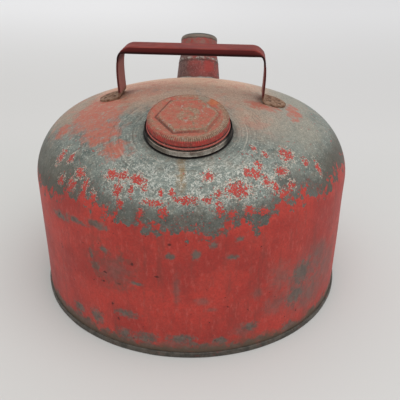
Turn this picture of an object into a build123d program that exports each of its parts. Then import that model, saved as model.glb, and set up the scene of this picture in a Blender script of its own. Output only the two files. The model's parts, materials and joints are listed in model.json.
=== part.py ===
"""A round 2.5 US gallon metal gas can, as the separate pieces it is pressed, seamed and soldered from.

Millimetres, +Z up. The origin is the centre of the ring that the can stands on. The filler cap is
towards -Y, the pouring spout towards +Y, and the carrying strap runs along X.
"""
import os
from math import atan2, cos, degrees, radians, sin, sqrt

from build123d import *

os.makedirs("parts", exist_ok=True)

# --- body: a drawn shell on a double-seamed bottom ---
body_r = 140.0
wall_top = 109.8
shoulder_r = 54.7
dome_r = 283.0
sheet = 0.5
fit_gap = 0.04

seam_height = 4.8
pan_height = 5.8
pan_rise = 2.0
pan_rise_r = 112.0
sealant_height = 0.8

# --- filler: square to the dome, this far round it from the top ---
filler_angle = 15.7
filler_turn = 0.55
neck_wall = 0.8
filler_neck_r = 28.6
filler_rim = 9.93
filler_foot = -6.0
filler_hole_depth = 20.0
collar_base_r = 33.6
collar_rim_r = 33.7
collar_rim = 3.29
collar_floor = 0.5
collar_lift = 0.9
collar_wall = 0.5

# --- filler cap ---
fill_cap_r = 31.3
fill_cap_foot = 3.3
fill_cap_top = 12.35
fill_cap_corner = 2.9
fill_cap_bead = 1.3
fill_cap_bead_out = 0.75
hexagon_r = 24.3
hexagon_turn = 6.5
hexagon_corner = 5.0
hexagon_rise = 1.3

# --- spout: square to the shoulder, this far round it from its top, and a little round the can from +Y ---
spout_lean = 25.0
spout_turn = 0.7
spout_root = -18.0
spout_base_r = 22.85
spout_base_top_r = 21.2
spout_base_top = 17.5
spout_bead = 0.5
spout_hole_r = 20.4
spout_hole_depth = 30.0
spigot_r = 20.1
spigot_foot = 10.0
spout_neck_r = 20.9
spout_neck_top = 20.0
spout_taper_r = 19.3
spout_taper_top = 26.6
spout_shoulder_rise = 1.6
spout_thread_r = 16.7
spout_rim = 43.8

# --- spout cap ---
spout_cap_r = 19.4
spout_cap_foot = 28.4
spout_cap_top = 46.2
spout_cap_corner = 3.6

# --- screw threads, rolled into the necks and the caps ---
filler_thread_top = 5.6
filler_thread_height = 4.4
fill_cap_thread_height = 2.4
spout_thread_lift = 1.5
spout_thread_height = 12.0
spout_cap_thread_height = 5.0
pitch = 3.5
thread_root = 0.8
thread_tip = 0.35
thread_depth = 1.5
thread_bite = 0.35
thread_run = 0.3

# --- sealing stack inside each cap ---
gasket = 1.5
disc = 0.8
stud_r = 2.5
stud_head_r = 4.5
spout_stud_head_r = 3.5
stud_head = 0.9
stud_gap = 1.0
disc_gap = 1.2
seal_gap = 0.04

# --- strainer in the spout ---
strainer_wall = 0.4
strainer_ring_low = 36.2
strainer_ring_top = 41.2
strainer_foot = 22.5
slot_margin_low = 3.0
slot_margin_high = 2.0
slot_count = 12
slot_width = 1.6

# --- carrying strap: 1 in wide, a little forward of the middle and a little off square ---
strap_width = 25.4
strap = 1.6
strap_y = -4.0
strap_turn = -2.85
strap_half = 63.3
strap_top = 218.5
strap_bow = 0.7
strap_corner = 11.2
grip_depth = 5.5
grip_half = 58.4
grip_end = (60.75, 210.2)
foot_end = 82.2
foot_corner = 12.6
foot_blank = (150.0, 40.0)
weld_r = 1.5
weld_c = 72.3
weld_half = 4.2
weld_dimple = 0.5

# --- solder fillets ---
solder = 1.5

# --- places worked out from the dimensions above ---
shoulder_c = body_r - shoulder_r
dome_c = wall_top - sqrt((dome_r - shoulder_r) ** 2 - shoulder_c**2)
blend = degrees(atan2(wall_top - dome_c, shoulder_c))

filler_side = Vector(cos(radians(filler_turn)), sin(radians(filler_turn)), 0)
filler_axis = (
    Vector(filler_side.Y, -filler_side.X, 0) * sin(radians(filler_angle))
    + Vector(0, 0, 1) * cos(radians(filler_angle))
)
filler_origin = Vector(0, 0, dome_c) + filler_axis * dome_r
filler_line = Axis(filler_origin, filler_axis)
filler_section = Plane(filler_origin, x_dir=filler_side, z_dir=filler_side.cross(filler_axis))

spout_out = Vector(sin(radians(spout_turn)), cos(radians(spout_turn)), 0)
spout_side = Vector(cos(radians(spout_turn)), -sin(radians(spout_turn)), 0)
spout_axis = spout_out * sin(radians(spout_lean)) + Vector(0, 0, 1) * cos(radians(spout_lean))
spout_origin = Vector(0, 0, wall_top) + spout_out * shoulder_c + spout_axis * shoulder_r
spout_line = Axis(spout_origin, spout_axis)
spout_section = Plane(spout_origin, x_dir=spout_side, z_dir=spout_side.cross(spout_axis))

strap_x = Vector(cos(radians(strap_turn)), sin(radians(strap_turn)), 0)
strap_side = Plane((0, strap_y, 0), x_dir=strap_x, z_dir=strap_x.cross(Vector(0, 0, 1)))
strap_plan = Plane((0, strap_y, 0), x_dir=strap_x, z_dir=(0, 0, 1))


def can_section(grow):
    """Half section of the solid can, its outside moved out by grow."""
    with BuildSketch(Plane.XZ) as section:
        with BuildLine():
            wall = Line((body_r + grow, 0), (body_r + grow, wall_top))
            shoulder = CenterArc((shoulder_c, wall_top), shoulder_r + grow, 0, blend)
            dome = CenterArc((0, dome_c), dome_r + grow, blend, 90 - blend)
            Polyline(dome @ 1, (0, 0), wall @ 0)
        make_face()
    return section.sketch


def ring(low_r, high_r, low, high, mode=Mode.ADD):
    """A rectangle in a half section, from one radius and height to another."""
    with Locations(((low_r + high_r) / 2, (low + high) / 2)):
        Rectangle(high_r - low_r, high - low, mode=mode)


def thread(line, wall_r, start, height, outwards):
    """One helical rib on a wall of radius wall_r, with its root a little inside the metal."""
    side = 1 if outwards else -1
    path = Edge.make_helix(pitch, height, wall_r, line.position + line.direction * start, line.direction)
    radial = (path @ 0 - (line.position + line.direction * start)).normalized()
    tip = thread_depth * side
    root = -thread_bite * side
    with BuildSketch(Plane(path @ 0, x_dir=radial, z_dir=path % 0)) as tooth:
        with BuildLine():
            Polyline(
                (root, -thread_root), (tip, -thread_tip), (tip, thread_tip), (root, thread_root), close=True
            )
        make_face()
    return sweep(tooth.sketch, path=path, is_frenet=True, mode=Mode.PRIVATE)


# --- bottom seam, from the inside out: pan wall, body wall, pan hook, body hook, pan panel ---
pan_wall_r = body_r - sheet - fit_gap
pan_hook_r = body_r + fit_gap
body_hook_r = pan_hook_r + sheet + fit_gap
seam_r = body_hook_r + 2 * sheet + fit_gap
body_foot = sheet + fit_gap / 2
body_hook_top = seam_height - sheet - fit_gap * 2
pan_hook_foot = body_foot + sheet + sealant_height

with BuildPart() as body_shell:
    with BuildSketch(Plane.XZ):
        add(can_section(0))
        add(can_section(-sheet), mode=Mode.SUBTRACT)
        with Locations((0, body_foot / 2)):
            Rectangle(3 * body_r, body_foot, mode=Mode.SUBTRACT)
        ring(body_r - sheet, body_hook_r + sheet, body_foot, body_foot + sheet)
        ring(body_hook_r, body_hook_r + sheet, body_foot, body_hook_top)
    revolve(axis=Axis.Z)
    with BuildSketch(filler_section):
        ring(0, filler_neck_r + fit_gap, -filler_hole_depth, filler_hole_depth)
    revolve(axis=filler_line, mode=Mode.SUBTRACT)
    with BuildSketch(spout_section):
        ring(0, spout_hole_r, -spout_hole_depth, spout_hole_depth)
    revolve(axis=spout_line, mode=Mode.SUBTRACT)
body_shell.part.label = "body_shell"
export_step(body_shell.part, "parts/body_shell.step")

with BuildPart() as bottom_pan:
    with BuildSketch(Plane.XZ):
        ring(pan_wall_r - sheet, pan_wall_r, 0, pan_height)
        ring(pan_wall_r - sheet, seam_r, 0, sheet)
        ring(seam_r - sheet, seam_r, 0, seam_height)
        ring(pan_hook_r, seam_r, seam_height - sheet, seam_height)
        ring(pan_hook_r, pan_hook_r + sheet, pan_hook_foot, seam_height)
        with BuildLine():
            Polyline(
                (0, pan_height + pan_rise),
                (pan_rise_r, pan_height + pan_rise),
                (pan_rise_r + 2 * pan_rise, pan_height),
                (pan_wall_r, pan_height),
                (pan_wall_r, pan_height - sheet),
                (pan_rise_r + 2 * pan_rise, pan_height - sheet),
                (pan_rise_r, pan_height + pan_rise - sheet),
                (0, pan_height + pan_rise - sheet),
                close=True,
            )
        make_face()
    revolve(axis=Axis.Z)
bottom_pan.part.label = "bottom_pan"
export_step(bottom_pan.part, "parts/bottom_pan.step")

with BuildPart() as bottom_seam_sealant:
    with BuildSketch(Plane.XZ):
        ring(body_r + fit_gap, body_hook_r - fit_gap, body_foot + sheet + fit_gap, pan_hook_foot - fit_gap)
    revolve(axis=Axis.Z)
bottom_seam_sealant.part.label = "bottom_seam_sealant"
export_step(bottom_seam_sealant.part, "parts/bottom_seam_sealant.step")

# --- filler ---
filler_thread_low = filler_rim - filler_thread_top

with BuildPart() as filler_neck:
    with BuildSketch(filler_section):
        ring(filler_neck_r - neck_wall, filler_neck_r, filler_foot, filler_rim)
    revolve(axis=filler_line)
    add(thread(filler_line, filler_neck_r, filler_thread_low, filler_thread_height, outwards=True))
filler_neck.part.label = "filler_neck"
export_step(filler_neck.part, "parts/filler_neck.step")

collar_foot = sqrt(dome_r**2 - collar_base_r**2) - dome_r + collar_lift

with BuildPart() as filler_collar:
    with BuildSketch(filler_section):
        with BuildLine():
            Polyline(
                (collar_base_r, collar_foot),
                (collar_rim_r, collar_rim),
                (collar_rim_r - collar_wall, collar_rim),
                (collar_base_r - collar_wall, collar_floor + collar_wall),
                (filler_neck_r + fit_gap, collar_floor + collar_wall),
                (filler_neck_r + fit_gap, collar_floor),
                (collar_base_r - collar_wall, collar_floor),
                (collar_base_r - collar_wall, collar_foot),
                close=True,
            )
        make_face()
    revolve(axis=filler_line)
filler_collar.part.label = "filler_collar"
export_step(filler_collar.part, "parts/filler_collar.step")

with BuildPart() as filler_neck_solder:
    with BuildSketch(filler_section):
        ring(filler_neck_r + fit_gap, filler_neck_r + solder, filler_foot / 2, collar_floor - fit_gap)
    revolve(axis=filler_line)
    with BuildSketch(Plane.XZ):
        add(can_section(solder))
    revolve(axis=Axis.Z, mode=Mode.INTERSECT)
    with BuildSketch(Plane.XZ):
        add(can_section(fit_gap))
    revolve(axis=Axis.Z, mode=Mode.SUBTRACT)
filler_neck_solder.part.label = "filler_neck_solder"
export_step(filler_neck_solder.part, "parts/filler_neck_solder.step")

# --- filler cap: a turning shell over a gasket and disc that stay still on the neck's rim ---
fill_gasket_low = filler_rim + seal_gap
fill_cap_inside = fill_gasket_low + gasket + seal_gap
fill_cap_wall = fill_cap_top - fill_cap_inside
fill_disc_low = fill_gasket_low - seal_gap - disc
fill_disc_r = filler_neck_r - neck_wall - disc_gap
fill_cap_thread_low = filler_thread_low + pitch / 2

with BuildPart() as fill_cap_shell:
    with BuildSketch(filler_section):
        ring(0, fill_cap_r, fill_cap_foot, fill_cap_top)
        with Locations((fill_cap_r + fill_cap_bead_out - fill_cap_bead, fill_cap_foot + fill_cap_bead)):
            Circle(fill_cap_bead)
        ring(0, fill_cap_r - fill_cap_wall, fill_cap_foot, fill_cap_inside, mode=Mode.SUBTRACT)
    revolve(axis=filler_line)
    top_edge = fill_cap_shell.edges().filter_by(GeomType.CIRCLE).group_by(filler_line)[-1]
    fillet(top_edge, fill_cap_corner)
    boss_plane = Plane(filler_origin + filler_axis * fill_cap_top, x_dir=filler_side, z_dir=filler_axis)
    with BuildSketch(boss_plane) as hexagon:
        RegularPolygon(hexagon_r, 6, rotation=hexagon_turn)
        fillet(hexagon.vertices(), hexagon_corner)
    extrude(amount=hexagon_rise, taper=45)
    with BuildSketch(boss_plane.offset(hexagon_rise - fill_cap_wall)) as recess:
        RegularPolygon(hexagon_r - 2 * hexagon_rise, 6, rotation=hexagon_turn)
        fillet(recess.vertices(), hexagon_corner - hexagon_rise)
    extrude(amount=-hexagon_rise - fit_gap, mode=Mode.SUBTRACT)
    add(
        thread(
            filler_line,
            fill_cap_r - fill_cap_wall,
            fill_cap_thread_low,
            fill_cap_thread_height,
            outwards=False,
        )
    )
fill_cap_shell.part.label = "fill_cap_shell"
export_step(fill_cap_shell.part, "parts/fill_cap_shell.step")

with BuildPart() as fill_cap_stud:
    with BuildSketch(filler_section):
        ring(0, stud_r, fill_disc_low - seal_gap, fill_cap_inside + hexagon_rise - seal_gap)
        ring(0, stud_head_r, fill_disc_low - seal_gap - stud_head, fill_disc_low - seal_gap)
    revolve(axis=filler_line)
fill_cap_stud.part.label = "fill_cap_stud"
export_step(fill_cap_stud.part, "parts/fill_cap_stud.step")

with BuildPart() as fill_cap_gasket:
    with BuildSketch(filler_section):
        ring(stud_r + stud_gap, filler_neck_r + thread_depth, fill_gasket_low, fill_gasket_low + gasket)
    revolve(axis=filler_line)
fill_cap_gasket.part.label = "fill_cap_gasket"
export_step(fill_cap_gasket.part, "parts/fill_cap_gasket.step")

with BuildPart() as fill_cap_disc:
    with BuildSketch(filler_section):
        ring(stud_r + thread_run, fill_disc_r, fill_disc_low, fill_disc_low + disc)
    revolve(axis=filler_line)
fill_cap_disc.part.label = "fill_cap_disc"
export_step(fill_cap_disc.part, "parts/fill_cap_disc.step")

# --- spout ---
spout_slope = (spout_base_r - spout_base_top_r) / spout_base_top
spout_root_r = spout_base_r - spout_root * spout_slope

with BuildPart() as spout_base:
    with BuildSketch(spout_section):
        with BuildLine():
            Polyline(
                (spout_root_r, spout_root),
                (spout_base_top_r, spout_base_top),
                (spout_base_top_r - neck_wall, spout_base_top),
                (spout_root_r - neck_wall, spout_root),
                close=True,
            )
        make_face()
        with Locations((spout_base_top_r - neck_wall + spout_bead, spout_base_top)):
            Circle(spout_bead)
    revolve(axis=spout_line)
    with BuildSketch(Plane.XZ):
        add(can_section(fit_gap))
    revolve(axis=Axis.Z, mode=Mode.SUBTRACT)
spout_base.part.label = "spout_base"
export_step(spout_base.part, "parts/spout_base.step")

with BuildPart() as spout_base_solder:
    with BuildSketch(spout_section):
        with BuildLine():
            Polyline(
                (spout_root_r + fit_gap, spout_root),
                (spout_base_top_r + fit_gap, spout_base_top),
                (spout_base_top_r + solder, spout_base_top),
                (spout_root_r + solder, spout_root),
                close=True,
            )
        make_face()
    revolve(axis=spout_line)
    with BuildSketch(Plane.XZ):
        add(can_section(solder))
    revolve(axis=Axis.Z, mode=Mode.INTERSECT)
    with BuildSketch(Plane.XZ):
        add(can_section(fit_gap))
    revolve(axis=Axis.Z, mode=Mode.SUBTRACT)
spout_base_solder.part.label = "spout_base_solder"
export_step(spout_base_solder.part, "parts/spout_base_solder.step")

spout_seat = spout_base_top + spout_bead + fit_gap
spout_thread_low = spout_cap_foot + spout_thread_lift

with BuildPart() as spout_neck:
    with BuildSketch(spout_section):
        with BuildLine():
            Polyline(
                (spigot_r, spigot_foot),
                (spigot_r, spout_seat),
                (spout_neck_r, spout_seat),
                (spout_neck_r, spout_neck_top),
                (spout_taper_r, spout_taper_top),
                (spout_thread_r, spout_taper_top + spout_shoulder_rise),
                (spout_thread_r, spout_rim),
                (spout_thread_r - neck_wall, spout_rim),
                (spout_thread_r - neck_wall, spout_taper_top + spout_shoulder_rise - neck_wall),
                (spout_taper_r - neck_wall, spout_taper_top - neck_wall),
                (spout_neck_r - neck_wall, spout_neck_top),
                (spout_neck_r - neck_wall, spout_seat + neck_wall),
                (spigot_r - neck_wall, spout_seat + neck_wall),
                (spigot_r - neck_wall, spigot_foot),
                close=True,
            )
        make_face()
    revolve(axis=spout_line)
    add(thread(spout_line, spout_thread_r, spout_thread_low, spout_thread_height, outwards=True))
spout_neck.part.label = "spout_neck"
export_step(spout_neck.part, "parts/spout_neck.step")

solder_low = spigot_foot + solder
solder_top_r = spout_base_top_r - neck_wall - fit_gap

with BuildPart() as spout_neck_solder:
    with BuildSketch(spout_section):
        with BuildLine():
            Polyline(
                (spigot_r + fit_gap, solder_low),
                (spigot_r + fit_gap, spout_base_top),
                (solder_top_r, spout_base_top),
                (solder_top_r + (spout_base_top - solder_low) * spout_slope, solder_low),
                close=True,
            )
        make_face()
    revolve(axis=spout_line)
spout_neck_solder.part.label = "spout_neck_solder"
export_step(spout_neck_solder.part, "parts/spout_neck_solder.step")

# --- strainer: a slotted brass cup on a brass ring in the spout's neck ---
strainer_ring_r = spout_thread_r - neck_wall - fit_gap
strainer_r = strainer_ring_r - neck_wall

with BuildPart() as spout_strainer_ring:
    with BuildSketch(spout_section):
        ring(strainer_r, strainer_ring_r, strainer_ring_low, strainer_ring_top)
    revolve(axis=spout_line)
spout_strainer_ring.part.label = "spout_strainer_ring"
export_step(spout_strainer_ring.part, "parts/spout_strainer_ring.step")

with BuildPart() as spout_strainer:
    cup_r = strainer_r - fit_gap
    with BuildSketch(spout_section):
        ring(cup_r - strainer_wall, cup_r, strainer_foot, strainer_ring_top)
        ring(0, cup_r, strainer_foot, strainer_foot + strainer_wall)
    revolve(axis=spout_line)
    slot_low = strainer_foot + slot_margin_low
    slot_length = strainer_ring_low - slot_margin_high - slot_low
    with BuildSketch(Plane(spout_origin + spout_axis * slot_low, x_dir=spout_side, z_dir=spout_axis)):
        with PolarLocations(cup_r, slot_count):
            Rectangle(4 * strainer_wall, slot_width)
    extrude(amount=slot_length, mode=Mode.SUBTRACT)
spout_strainer.part.label = "spout_strainer"
export_step(spout_strainer.part, "parts/spout_strainer.step")

# --- spout cap, built like the filler cap ---
spout_gasket_low = spout_rim + seal_gap
spout_cap_inside = spout_gasket_low + gasket + seal_gap
spout_cap_wall = spout_cap_top - spout_cap_inside
spout_disc_low = spout_gasket_low - seal_gap - disc
spout_disc_r = spout_thread_r - neck_wall - disc_gap

with BuildPart() as spout_cap_shell:
    with BuildSketch(spout_section):
        ring(0, spout_cap_r, spout_cap_foot, spout_cap_top)
        ring(0, spout_cap_r - spout_cap_wall, spout_cap_foot, spout_cap_inside, mode=Mode.SUBTRACT)
    revolve(axis=spout_line)
    top_edge = spout_cap_shell.edges().filter_by(GeomType.CIRCLE).group_by(spout_line)[-1]
    fillet(top_edge, spout_cap_corner)
    add(
        thread(
            spout_line,
            spout_cap_r - spout_cap_wall,
            spout_thread_low + pitch / 2,
            spout_cap_thread_height,
            outwards=False,
        )
    )
spout_cap_shell.part.label = "spout_cap_shell"
export_step(spout_cap_shell.part, "parts/spout_cap_shell.step")

with BuildPart() as spout_cap_stud:
    with BuildSketch(spout_section):
        ring(0, stud_r, spout_disc_low - seal_gap, spout_cap_inside - seal_gap)
        ring(0, spout_stud_head_r, spout_disc_low - seal_gap - stud_head, spout_disc_low - seal_gap)
    revolve(axis=spout_line)
spout_cap_stud.part.label = "spout_cap_stud"
export_step(spout_cap_stud.part, "parts/spout_cap_stud.step")

with BuildPart() as spout_cap_gasket:
    with BuildSketch(spout_section):
        ring(stud_r + stud_gap, spout_thread_r + thread_depth - thread_run, spout_gasket_low,
             spout_gasket_low + gasket)
    revolve(axis=spout_line)
spout_cap_gasket.part.label = "spout_cap_gasket"
export_step(spout_cap_gasket.part, "parts/spout_cap_gasket.step")

with BuildPart() as spout_cap_disc:
    with BuildSketch(spout_section):
        ring(stud_r + thread_run, spout_disc_r, spout_disc_low, spout_disc_low + disc)
    revolve(axis=spout_line)
spout_cap_disc.part.label = "spout_cap_disc"
export_step(spout_cap_disc.part, "parts/spout_cap_disc.step")

# --- carrying strap: an inverted channel for the hand, flat legs, and feet that follow the dome ---
leg_r = strap_half - strap / 2
leg_end_r = leg_r - strap_bow
leg_low = sqrt(dome_r**2 - (strap_half - strap_y) ** 2) + dome_c + strap
leg_high = strap_top - strap / 2 - strap_corner
top_line = strap_top - strap / 2
weld_spots = [(side * (weld_c + dx), dy) for side in (-1, 1) for dx in (-weld_half, weld_half)
              for dy in (-weld_half, weld_half)]


def dome_skin(low, high):
    """The space between two heights above the dome, all round it."""
    with BuildSketch(Plane.XZ) as section:
        with BuildLine():
            outer = CenterArc((0, dome_c), dome_r + high, 45, 45)
            inner = CenterArc((0, dome_c), dome_r + low, 45, 45)
            Line(outer @ 0, inner @ 0)
            Line(outer @ 1, inner @ 1)
        make_face()
    return revolve(section.sketch, axis=Axis.Z, mode=Mode.PRIVATE)


with BuildPart() as strap_feet:
    with BuildSketch(strap_plan.offset(foot_blank[0])) as feet:
        Rectangle(2 * foot_end, strap_width)
        fillet(feet.vertices(), foot_corner)
        Rectangle(2 * (leg_end_r - strap / 2), strap_width, mode=Mode.SUBTRACT)
        with Locations(*weld_spots):
            Circle(weld_r, mode=Mode.SUBTRACT)
    extrude(amount=foot_blank[1])
    add(dome_skin(fit_gap, fit_gap + strap), mode=Mode.INTERSECT)

with BuildPart() as handle_strap:
    with BuildSketch(strap_side) as flange:
        with BuildLine():
            crown = Line((-leg_end_r + strap_corner, top_line), (leg_end_r - strap_corner, top_line))
            for side, end in ((-1, crown @ 0), (1, crown @ 1)):
                TangentArc(end, (side * leg_end_r, leg_high), tangent=(side, 0))
                ThreePointArc(
                    (side * leg_end_r, leg_high),
                    (side * grip_end[0], grip_end[1]),
                    (side * grip_half, strap_top - grip_depth),
                )
            Line((-grip_half, strap_top - grip_depth), (grip_half, strap_top - grip_depth))
        make_face()
    extrude(amount=strap_width / 2, both=True)
    extrude(flange.sketch, amount=strap_width / 2 - strap, both=True, mode=Mode.SUBTRACT)
    with BuildSketch(strap_side):
        with BuildLine():
            crown = Line((-leg_end_r + strap_corner, top_line), (leg_end_r - strap_corner, top_line))
            for side, end in ((-1, crown @ 0), (1, crown @ 1)):
                TangentArc(end, (side * leg_end_r, leg_high), tangent=(side, 0))
                ThreePointArc(
                    (side * leg_end_r, leg_high),
                    (side * leg_r, (leg_low + leg_high) / 2),
                    (side * leg_end_r, leg_low),
                )
        trace(line_width=strap)
    extrude(amount=strap_width / 2, both=True)
    add(strap_feet.part)
handle_strap.part.label = "handle_strap"
export_step(handle_strap.part, "parts/handle_strap.step")

with BuildPart() as handle_weld_nuggets:
    with BuildSketch(strap_plan.offset(foot_blank[0])):
        with Locations(*weld_spots):
            Circle(weld_r - fit_gap)
    extrude(amount=foot_blank[1])
    add(dome_skin(fit_gap, fit_gap + strap - weld_dimple), mode=Mode.INTERSECT)
handle_weld_nuggets.part.label = "handle_weld_nuggets"
export_step(handle_weld_nuggets.part, "parts/handle_weld_nuggets.step")
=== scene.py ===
"""The looks of a worn 2.5 gallon metal gas can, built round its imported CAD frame.

Blender units are metres. Outlines below are in millimetres and are turned into metres when a mesh is made.
"""

import functools
import json
import math

import bmesh
import bpy
import numpy as np
from mathutils import Matrix, Vector


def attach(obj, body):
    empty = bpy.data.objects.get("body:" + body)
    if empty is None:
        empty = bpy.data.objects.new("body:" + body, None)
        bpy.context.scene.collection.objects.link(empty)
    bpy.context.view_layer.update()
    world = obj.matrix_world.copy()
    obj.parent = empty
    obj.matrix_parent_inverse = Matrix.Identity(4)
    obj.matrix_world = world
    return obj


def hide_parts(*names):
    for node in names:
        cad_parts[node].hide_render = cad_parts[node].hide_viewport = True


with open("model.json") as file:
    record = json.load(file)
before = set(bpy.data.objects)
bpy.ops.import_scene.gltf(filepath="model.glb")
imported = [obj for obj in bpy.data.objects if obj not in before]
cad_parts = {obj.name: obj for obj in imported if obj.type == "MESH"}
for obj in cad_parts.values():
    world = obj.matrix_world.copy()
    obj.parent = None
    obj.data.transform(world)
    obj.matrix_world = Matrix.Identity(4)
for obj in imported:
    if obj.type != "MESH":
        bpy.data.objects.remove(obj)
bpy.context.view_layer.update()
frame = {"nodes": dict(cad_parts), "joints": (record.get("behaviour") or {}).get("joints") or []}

MM = 0.001
TURN = 2 * math.pi
ON_AXIS = 1e-6  # a radius under this counts as 0

# --- the can's own dimensions, in millimetres ---
BODY_R = 140.0
WALL_TOP = 109.8
SHOULDER_R = 54.7
DOME_R = 283.0
SHEET = 0.5
SHOULDER_C = BODY_R - SHOULDER_R
DOME_C = WALL_TOP - math.sqrt((DOME_R - SHOULDER_R) ** 2 - SHOULDER_C**2)
BLEND = math.atan2(WALL_TOP - DOME_C, SHOULDER_C)
PITCH = 3.5
THREAD = 1.35  # how far a thread stands out of its wall
NECK_WALL = 0.8
GAP = 0.05  # between the dome and what is soldered or welded to it
FILLER_HOLE_R = 28.64
FILLER_NECK_R = 28.6
FILLER_JOINT_H = 8  # how far up its neck a cap's joint lies
SPOUT_HOLE_R = 20.4
SPOUT_JOINT_H = 38
STRAP_Y = -4.0
STRAP_TURN = math.radians(-2.85)
STRAP_WIDTH = 25.4
STRAP = 1.6

joints = {j["name"]: j for j in frame["joints"]}


def joint_place(name, height):
    """The frame of a cap or neck: its axis, from the origin that lies height mm below the joint's point."""
    axis = Vector(joints[name]["axis"]).normalized()
    origin = Vector(joints[name]["pos_m"]) - axis * height * MM
    across = (Vector((1, 0, 0)) - axis * axis.x).normalized()
    turned = Matrix((across, axis.cross(across), axis)).transposed().to_4x4()
    return Matrix.Translation(origin) @ turned


UPRIGHT = Matrix.Identity(4)
FILLER = joint_place("fill_cap_turn", FILLER_JOINT_H)
SPOUT = joint_place("spout_cap_turn", SPOUT_JOINT_H)
STRAP_PLACE = Matrix.Translation((0, STRAP_Y * MM, 0)) @ Matrix.Rotation(STRAP_TURN, 4, "Z")


# --- outlines ---


def arc(centre_r, centre_h, radius, start, end, steps):
    """Points on an arc, its angles in radians from the radius direction towards the height."""
    return [
        (centre_r + radius * math.cos(a), centre_h + radius * math.sin(a))
        for a in np.linspace(start, end, steps + 1)
    ]


def eased(start, corner, end, t):
    """A point on the curve that cuts a corner from start to end."""
    return start * (1 - t) ** 2 + corner * (2 * t * (1 - t)) + end * t**2


def rounded(points, radius, steps=5):
    """The closed outline with each corner off the axis rounded; a third value in a point is its own radius."""
    out = []
    count = len(points)
    for i, corner in enumerate(points):
        here = Vector(corner[:2])
        size = corner[2] if len(corner) > 2 else radius
        before, after = Vector(points[i - 1][:2]) - here, Vector(points[(i + 1) % count][:2]) - here
        bend = math.pi - before.angle(after, math.pi)
        if here.x < ON_AXIS or size <= 0 or bend < 0.02:
            out.append(tuple(here))
            continue
        reach = min(size * math.tan(bend / 2), before.length / 2, after.length / 2)
        start, end = here + before.normalized() * reach, here + after.normalized() * reach
        out += [tuple(eased(start, here, end, k / steps)) for k in range(steps + 1)]
    return out


def refined(points, step):
    """The closed outline with its long runs divided, so that no edge is much longer than step."""
    out = []
    for i, point in enumerate(points):
        here, there = Vector(point), Vector(points[(i + 1) % len(points)])
        on_axis = max(here.x, there.x) < ON_AXIS
        parts = 1 if on_axis else max(1, math.ceil((there - here).length / step))
        out += [tuple(here.lerp(there, k / parts)) for k in range(parts)]
    return out


# --- meshes ---


def finished(name, bm, place=UPRIGHT, crease=40):
    """A smooth-shaded object made from bm, whose millimetres are turned into metres in the can's frame."""
    bmesh.ops.remove_doubles(bm, verts=bm.verts, dist=1e-4)
    bmesh.ops.recalc_face_normals(bm, faces=bm.faces)
    mesh = bpy.data.meshes.new(name)
    bm.to_mesh(mesh)
    bm.free()
    mesh.transform(place @ Matrix.Scale(MM, 4))
    mesh.polygons.foreach_set("use_smooth", [True] * len(mesh.polygons))
    mesh.set_sharp_from_angle(angle=math.radians(crease))
    obj = bpy.data.objects.new(name, mesh)
    bpy.context.scene.collection.objects.link(obj)
    return obj


def bridge(bm, rows):
    """Faces between each closed row of vertices and the next; a row at a pole repeats its one vertex."""
    steps = len(rows[0])
    for lower, upper in zip(rows, rows[1:]):
        for j in range(steps):
            k = (j + 1) % steps
            corners = list(dict.fromkeys((lower[j], lower[k], upper[k], upper[j])))
            if len(corners) > 2:
                bm.faces.new(corners)


def lathe(name, outline, place=UPRIGHT, steps=256, step=2.0, shape=None, crease=40):
    """A closed body turned from a closed outline of (radius, height), with shape(r, h, angle) bending it."""
    points = np.array(refined(outline, step))
    angles = np.arange(steps) * TURN / steps
    r = np.repeat(points[:, :1], steps, axis=1)
    h = np.repeat(points[:, 1:], steps, axis=1)
    a = np.repeat(angles[None, :], len(points), axis=0)
    pole = points[:, 0] < ON_AXIS
    if shape:
        r, h = shape(r, h, a)
        r[pole] = 0
        h[pole] = h[pole, :1]
    grid = np.stack([r * np.cos(a), r * np.sin(a), h], axis=2)
    bm = bmesh.new()
    rows = [
        [bm.verts.new(row[0])] * steps if at_pole else [bm.verts.new(p) for p in row]
        for row, at_pole in zip(grid, pole)
    ]
    bridge(bm, rows + rows[:1])
    return finished(name, bm, place, crease)


def smooth(value, low, high):
    """0 below low, 1 above high, and a smooth step between; high may be the lower of the two."""
    t = np.clip((value - low) / (high - low), 0, 1)
    return t * t * (3 - 2 * t)


def thread(h, a, start, height):
    """How far a rolled thread stands out of a wall at height h and angle a; it runs over height from start."""
    turns = (h - start) / PITCH - a / TURN
    off = (turns + 0.5) % 1 - 0.5
    middle = h - off * PITCH
    rib = smooth(np.abs(off) * PITCH, 0.85, 0.3)
    ends = smooth(middle, start, start + 0.35) * smooth(middle, start + height, start + height - 0.35)
    return THREAD * rib * ends


def can_distance(points):
    """Signed distance in mm from the can's outside, for points in the can's frame."""
    r = np.hypot(points[..., 0], points[..., 1])
    z = points[..., 2]
    angle = np.arctan2(z - WALL_TOP, r - SHOULDER_C)
    dome = np.hypot(r, z - DOME_C) - DOME_R
    shoulder = np.hypot(r - SHOULDER_C, z - WALL_TOP) - SHOULDER_R
    on_dome = (angle > BLEND) & (z > WALL_TOP) | (r < SHOULDER_C)
    return np.where(on_dome, dome, np.where(z > WALL_TOP, shoulder, r - BODY_R))


def junction(place, radius, a, clearance):
    """The height along a neck's axis at which its wall, radius(height) at angle a, meets the can."""
    origin = np.array(place.translation) / MM
    turn = np.array(place.to_3x3())
    lo, hi = np.full_like(a, -26.0), np.full_like(a, 12.0)
    for _ in range(30):
        mid = (lo + hi) / 2
        r = radius(mid)
        local = np.stack([r * np.cos(a), r * np.sin(a), mid], axis=-1)
        inside = can_distance(local @ turn.T + origin) < clearance
        lo, hi = np.where(inside, mid, lo), np.where(inside, hi, mid)
    return (lo + hi) / 2


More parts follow.
